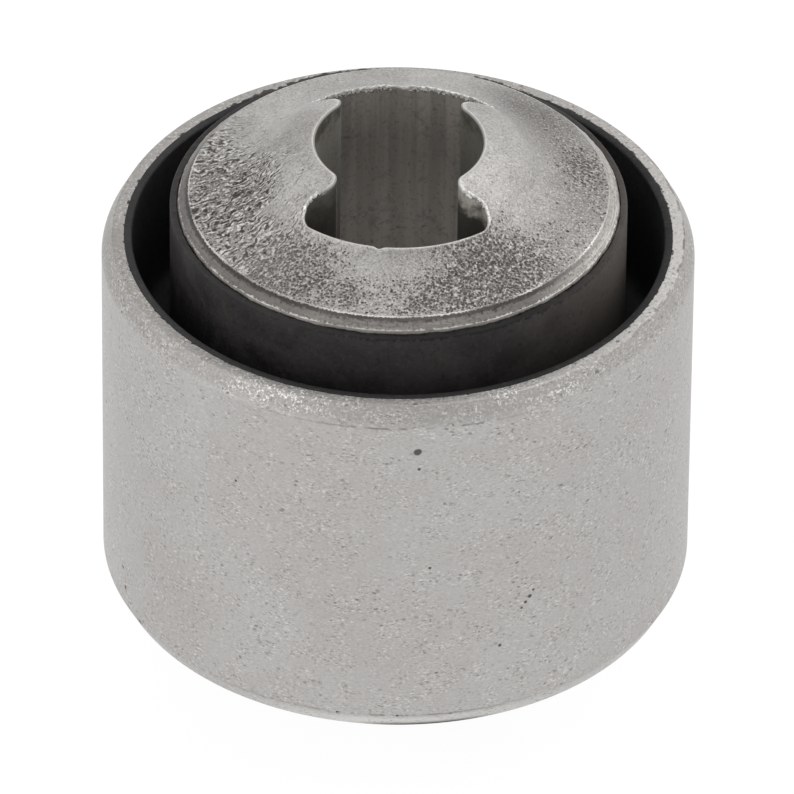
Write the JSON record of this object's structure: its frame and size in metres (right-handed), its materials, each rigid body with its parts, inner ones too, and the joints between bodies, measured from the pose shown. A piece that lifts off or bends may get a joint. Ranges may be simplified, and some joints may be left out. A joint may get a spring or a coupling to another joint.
{
  "type": "rubber metal bush",
  "caption": "Cylindrical rubber-metal bush: aluminium sleeve, moulded rubber ring and a domed aluminium core with a lobed through-hole for a bolt.",
  "frame": {"origin": "middle of the bush, on the bolt's axis", "axes": "+Z along the bolt's axis, the two lobes of the core's hole lie along +Y and -Y, +X across them"},
  "size_m": [0.06, 0.06, 0.0636],
  "materials": {
    "sleeve_aluminium": "fine matt blasted",
    "moulded_rubber": "matt moulded",
    "core_aluminium": "formed, patchily pitted"
  },
  "bodies": {
    "root": {"outer_sleeve": "sleeve_aluminium", "rubber_body": "moulded_rubber", "inner_core": "core_aluminium"}
  },
  "joints": []
}
